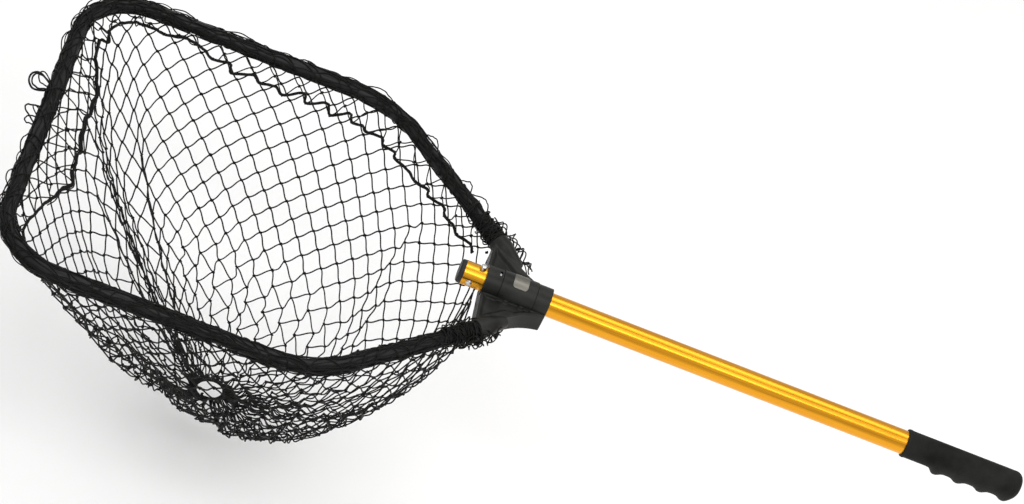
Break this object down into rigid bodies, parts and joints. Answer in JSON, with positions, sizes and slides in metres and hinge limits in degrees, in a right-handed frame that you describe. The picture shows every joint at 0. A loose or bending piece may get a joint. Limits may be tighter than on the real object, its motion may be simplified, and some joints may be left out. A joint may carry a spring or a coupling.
{
  "type": "landing net",
  "caption": "Hand-held landing net: a knotted bag on a bent tube hoop, whose moulded yoke slides along a gold tube handle and is held by sprung snap buttons, with a finger grip at the end.",
  "frame": {"origin": "on the handle's axis at the middle of the grip", "axes": "+X along the handle, from the hoop towards the end of the grip; +Z along the hoop's upward normal, out of the mouth of the bag"},
  "size_m": [1.0789, 0.4328, 0.2905],
  "materials": {
    "gold_tube": "gold anodised, satin",
    "plug_plastic": "moulded, slightly worn",
    "chromed_steel": "polished",
    "spring_steel": "plain",
    "grip_rubber": "matt, fine grain",
    "yoke_plastic": "moulded, fine texture",
    "badge_metal": "satin",
    "zinc_screws": "zinc plated",
    "hoop_coating": "black, satin",
    "netting_twine": "twisted twine with a rubbery dip",
    "lashing_twine": "twisted twine"
  },
  "bodies": {
    "handle": {"handle_tube": "gold_tube", "tip_plug": "plug_plastic", "plug_rivet": "chromed_steel", "button_spring": "spring_steel", "grip": "grip_rubber"},
    "snap_buttons": {"stop_button": "chromed_steel", "lock_button": "chromed_steel"},
    "net_head": {"yoke_saddle": "yoke_plastic", "yoke_cover": "yoke_plastic", "badge_plate": "badge_metal", "front_bush": "yoke_plastic", "rear_bush": "yoke_plastic", "cover_screws": "zinc_screws", "leg_screws": "zinc_screws", "hoop_tube": "hoop_coating", "net_bag": "netting_twine", "rim_lashing": "lashing_twine", "near_leg_lashing": "lashing_twine", "far_leg_lashing": "lashing_twine", "selvedge_cord": "lashing_twine", "gather_cord": "lashing_twine"}
  },
  "joints": [
    {"name": "head_slide", "type": "slide", "parent": "handle", "child": "net_head", "axis": [1, 0, 0], "range_m": [0, 0.395]},
    {"name": "button_press", "type": "slide", "parent": "handle", "child": "snap_buttons", "axis": [0, 0, -1], "range_m": [0, 0.0065], "stiffness_N_per_m": 900, "springref_m": -0.004, "deforming": ["button_spring"]}
  ]
}
